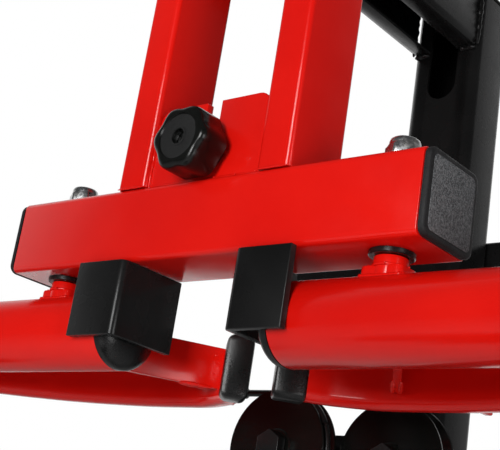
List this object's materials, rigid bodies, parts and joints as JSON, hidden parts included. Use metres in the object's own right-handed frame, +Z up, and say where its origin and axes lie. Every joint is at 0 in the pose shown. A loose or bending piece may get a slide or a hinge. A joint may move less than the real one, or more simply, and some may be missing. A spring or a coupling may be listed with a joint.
{
  "type": "adjustable weight bench",
  "caption": "Upright weight bench with a reclining back, a leg developer, and an overhead red butterfly yoke whose fly arms lift a plate carriage on a rear mast.",
  "frame": {"origin": "on the floor, in the middle of the bench's bounding box", "axes": "+Z up; +Y from the seat to the mast; +X to the right of someone who looks from the seat to the mast"},
  "size_m": [0.974, 1.1234, 1.645],
  "materials": {
    "red_powder_coat": "glossy red powder coat",
    "black_powder_coat": "satin black powder coat",
    "grained_cap_plastic": "pebble-grained dark grey plastic",
    "gloss_black_plastic": "glossy black plastic",
    "black_rubber": "satin black rubber",
    "zinc_plated_steel": "zinc plated",
    "black_vinyl": "grained black vinyl",
    "foam_sleeve": "matte foam with a fine skin"
  },
  "bodies": {
    "root": {"base_rail": "black_powder_coat", "front_foot": "black_powder_coat", "rear_foot": "black_powder_coat", "mast": "black_powder_coat", "head_arm": "black_powder_coat", "crossbar": "black_powder_coat", "seat_post": "black_powder_coat", "seat_rail": "black_powder_coat", "pulley_bracket": "black_powder_coat", "stop_left": "black_powder_coat", "stop_right": "black_powder_coat", "front_foot_shoe_left": "black_rubber", "front_foot_shoe_right": "black_rubber", "rear_foot_shoe_left": "black_rubber", "rear_foot_shoe_right": "black_rubber", "pivot_washer_left": "black_rubber", "pivot_washer_right": "black_rubber", "cable_wrap_left": "black_rubber", "cable_wrap_right": "black_rubber", "cable_run_left": "black_rubber", "cable_run_right": "black_rubber", "mast_cap": "gloss_black_plastic", "yoke_beam": "red_powder_coat", "yoke_post_left": "red_powder_coat", "yoke_post_right": "red_powder_coat", "slotted_plate": "red_powder_coat", "beam_cap_left": "grained_cap_plastic", "beam_cap_right": "grained_cap_plastic", "pivot_bolt_left": "zinc_plated_steel", "pivot_bolt_right": "zinc_plated_steel", "yoke_bolt_lower": "zinc_plated_steel", "yoke_bolt_upper": "zinc_plated_steel", "clamp_bolt": "zinc_plated_steel", "back_pin": "zinc_plated_steel", "back_clamp_bolt": "zinc_plated_steel", "seat_pad": "black_vinyl", "roller_upper_left": "foam_sleeve", "roller_upper_right": "foam_sleeve"},
    "arm_left": {"arm_tube_left": "red_powder_coat", "arm_plug_left": "black_rubber", "brace_left": "red_powder_coat", "brace_cap_left": "black_rubber", "pad_rod_left": "black_powder_coat", "elbow_pad_left": "foam_sleeve"},
    "pulley_left": {"pulley_left": "gloss_black_plastic"},
    "arm_right": {"arm_tube_right": "red_powder_coat", "arm_plug_right": "black_rubber", "brace_right": "red_powder_coat", "brace_cap_right": "black_rubber", "pad_rod_right": "black_powder_coat", "elbow_pad_right": "foam_sleeve"},
    "pulley_right": {"pulley_right": "gloss_black_plastic"},
    "knob": {"clamp_knob": "gloss_black_plastic"},
    "carriage": {"weight_carriage": "black_powder_coat"},
    "back": {"back_frame": "black_powder_coat", "back_pad": "black_vinyl"},
    "back_clamp": {"back_clamp_knob": "gloss_black_plastic"},
    "legs": {"leg_lever": "black_powder_coat", "roller_lower_left": "foam_sleeve", "roller_lower_right": "foam_sleeve"}
  },
  "joints": [
    {"name": "arm_left_swing", "type": "hinge", "parent": "root", "child": "arm_left", "pos_m": [-0.133, 0.12175, 1.33], "axis": [0, 0, 1], "range_deg": [0, 75]},
    {"name": "arm_right_swing", "type": "hinge", "parent": "root", "child": "arm_right", "pos_m": [0.133, 0.12175, 1.33], "axis": [0, 0, -1], "range_deg": [0, 75]},
    {"name": "carriage_lift", "type": "slide", "parent": "root", "child": "carriage", "axis": [0, 0, 1], "range_m": [0, 0.18], "deforming": ["cable_run_left", "cable_run_right"]},
    {"name": "pulley_left_turn", "type": "hinge", "parent": "root", "child": "pulley_left", "pos_m": [-0.044, 0.26875, 1.2455], "axis": [0, -1, 0], "range_deg": [0, 260]},
    {"name": "pulley_right_turn", "type": "hinge", "parent": "root", "child": "pulley_right", "pos_m": [0.039, 0.28725, 1.242], "axis": [0, 1, 0], "range_deg": [0, 260]},
    {"name": "knob_turn", "type": "hinge", "parent": "root", "child": "knob", "pos_m": [0, 0.08675, 1.399], "axis": [0, 1, 0], "continuous": true},
    {"name": "back_recline", "type": "hinge", "parent": "root", "child": "back", "pos_m": [0, -0.06825, 0.435], "axis": [-1, 0, 0], "range_deg": [0, 18]},
    {"name": "back_clamp_turn", "type": "hinge", "parent": "root", "child": "back_clamp", "pos_m": [0.04, 0.01175, 0.435], "axis": [1, 0, 0], "continuous": true},
    {"name": "leg_swing", "type": "hinge", "parent": "root", "child": "legs", "pos_m": [0, -0.49325, 0.385], "axis": [-1, 0, 0], "range_deg": [0, 80]}
  ],
  "couplings": [
    {"joint": "arm_right_swing", "follows": "arm_left_swing", "ratio": 1},
    {"joint": "carriage_lift", "follows": "arm_left_swing", "m_per_rad": 0.1354},
    {"joint": "pulley_left_turn", "follows": "arm_left_swing", "ratio": 3.4278},
    {"joint": "pulley_right_turn", "follows": "arm_left_swing", "ratio": 3.4278}
  ]
}
